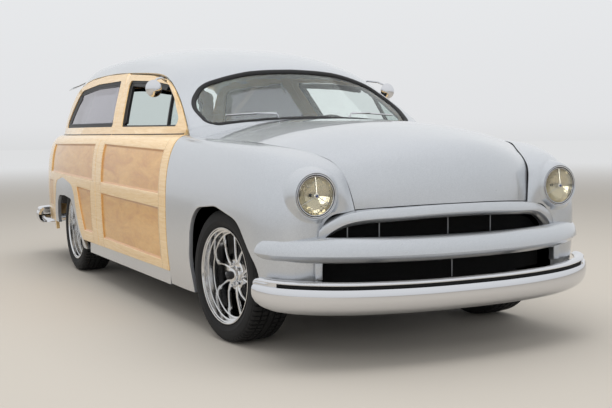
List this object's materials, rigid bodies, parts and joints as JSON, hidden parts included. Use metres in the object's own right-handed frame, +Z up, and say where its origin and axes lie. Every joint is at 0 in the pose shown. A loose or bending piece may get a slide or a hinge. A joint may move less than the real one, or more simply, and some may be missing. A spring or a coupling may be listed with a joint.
{
  "type": "station wagon",
  "caption": "Two-door wood-bodied station wagon with rounded metal front and roof, steered front wheels, opening doors, hood, liftgate and tailgate.",
  "frame": {"origin": "on the ground under the middle of the car", "axes": "+X forward along the car, +Y to its left, +Z up"},
  "size_m": [5.231, 1.8352, 1.6035],
  "materials": {
    "body_paint": "silver metallic gloss",
    "black_paint": "satin black",
    "dark_steel": "chassis black",
    "wood": "varnished maple",
    "chrome": "bright chrome",
    "polished": "polished aluminium",
    "tyre": "matt black",
    "glass": "clear glass",
    "lens": "clear lens",
    "red_lens": "red lens",
    "leather": "tan leather",
    "dark_plastic": "matt dark",
    "iron": "painted iron",
    "radiator": "black core"
  },
  "bodies": {
    "body": {"ladder_frame": "dark_steel", "floor_pan": "black_paint", "engine_bay": "black_paint", "radiator": "radiator", "engine_block": "iron", "exhaust": "dark_steel", "fuel_tank": "dark_steel", "front_suspension": "dark_steel", "rear_axle": "dark_steel", "dashboard": "dark_plastic", "steering_wheel": "dark_plastic", "front_seat": "leather", "rear_seat": "leather", "grille_insert": "chrome", "wipers": "chrome", "rear_valance": "body_paint", "tail_lamps": "red_lens", "front_fender_left": "body_paint", "front_fender_right": "body_paint", "headlamps": "lens", "roof_shell": "body_paint", "rear_visor": "body_paint", "windshield": "glass", "quarter_left": "wood", "quarter_right": "wood", "rear_arches": "body_paint", "rockers": "body_paint", "quarter_glass": "glass", "grille_bar": "body_paint", "grille_surround": "body_paint", "front_bumper": "chrome", "rear_bumper": "chrome"},
    "wheel_front_left": {"rim_front_left": "polished", "tyre_front_left": "tyre"},
    "wheel_front_right": {"rim_front_right": "polished", "tyre_front_right": "tyre"},
    "wheel_rear_left": {"rim_rear_left": "polished", "tyre_rear_left": "tyre"},
    "wheel_rear_right": {"rim_rear_right": "polished", "tyre_rear_right": "tyre"},
    "knuckle_left": {"knuckle_left": "dark_steel"},
    "knuckle_right": {"knuckle_right": "dark_steel"},
    "door_left": {"door_left": "wood", "vent_glass_left": "glass", "mirror_left": "chrome"},
    "door_right": {"door_right": "wood", "vent_glass_right": "glass", "mirror_right": "chrome"},
    "hood": {"hood": "body_paint"},
    "liftgate": {"liftgate": "wood", "liftgate_glass": "glass"},
    "tailgate": {"tailgate": "wood"}
  },
  "joints": [
    {"name": "steer_left", "type": "hinge", "parent": "body", "child": "knuckle_left", "pos_m": [1.7085, 0.66, 0.3235], "axis": [0, 0, 1], "range_deg": [-34, 22]},
    {"name": "steer_right", "type": "hinge", "parent": "body", "child": "knuckle_right", "pos_m": [1.7085, -0.66, 0.3235], "axis": [0, 0, 1], "range_deg": [-34, 22]},
    {"name": "wheel_front_left_spin", "type": "hinge", "parent": "knuckle_left", "child": "wheel_front_left", "pos_m": [1.70118, 0.72962, 0.3235], "axis": [-0.1045, 0.9945, 0], "continuous": true},
    {"name": "wheel_front_right_spin", "type": "hinge", "parent": "knuckle_right", "child": "wheel_front_right", "pos_m": [1.71582, -0.72962, 0.3235], "axis": [-0.1045, 0.9945, 0], "continuous": true},
    {"name": "wheel_rear_left_spin", "type": "hinge", "parent": "body", "child": "wheel_rear_left", "pos_m": [-1.1875, 0.73, 0.3235], "axis": [0, 1, 0], "continuous": true},
    {"name": "wheel_rear_right_spin", "type": "hinge", "parent": "body", "child": "wheel_rear_right", "pos_m": [-1.1875, -0.73, 0.3235], "axis": [0, 1, 0], "continuous": true},
    {"name": "door_left_hinge", "type": "hinge", "parent": "body", "child": "door_left", "pos_m": [0.9735, 0.86, 0.7], "axis": [0, 0, -1], "range_deg": [0, 65]},
    {"name": "door_right_hinge", "type": "hinge", "parent": "body", "child": "door_right", "pos_m": [0.9735, -0.86, 0.7], "axis": [0, 0, 1], "range_deg": [0, 65]},
    {"name": "hood_hinge", "type": "hinge", "parent": "body", "child": "hood", "pos_m": [1.1335, 0, 1.088], "axis": [0, -1, 0], "range_deg": [0, 45]},
    {"name": "liftgate_hinge", "type": "hinge", "parent": "body", "child": "liftgate", "pos_m": [-2.0815, 0, 1.462], "axis": [0, 1, 0], "range_deg": [0, 55]},
    {"name": "tailgate_hinge", "type": "hinge", "parent": "body", "child": "tailgate", "pos_m": [-2.4815, 0, 0.44], "axis": [0, -1, 0], "range_deg": [0, 90]}
  ],
  "couplings": [
    {"joint": "steer_left", "follows": "steer_right", "ratio": 1}
  ]
}
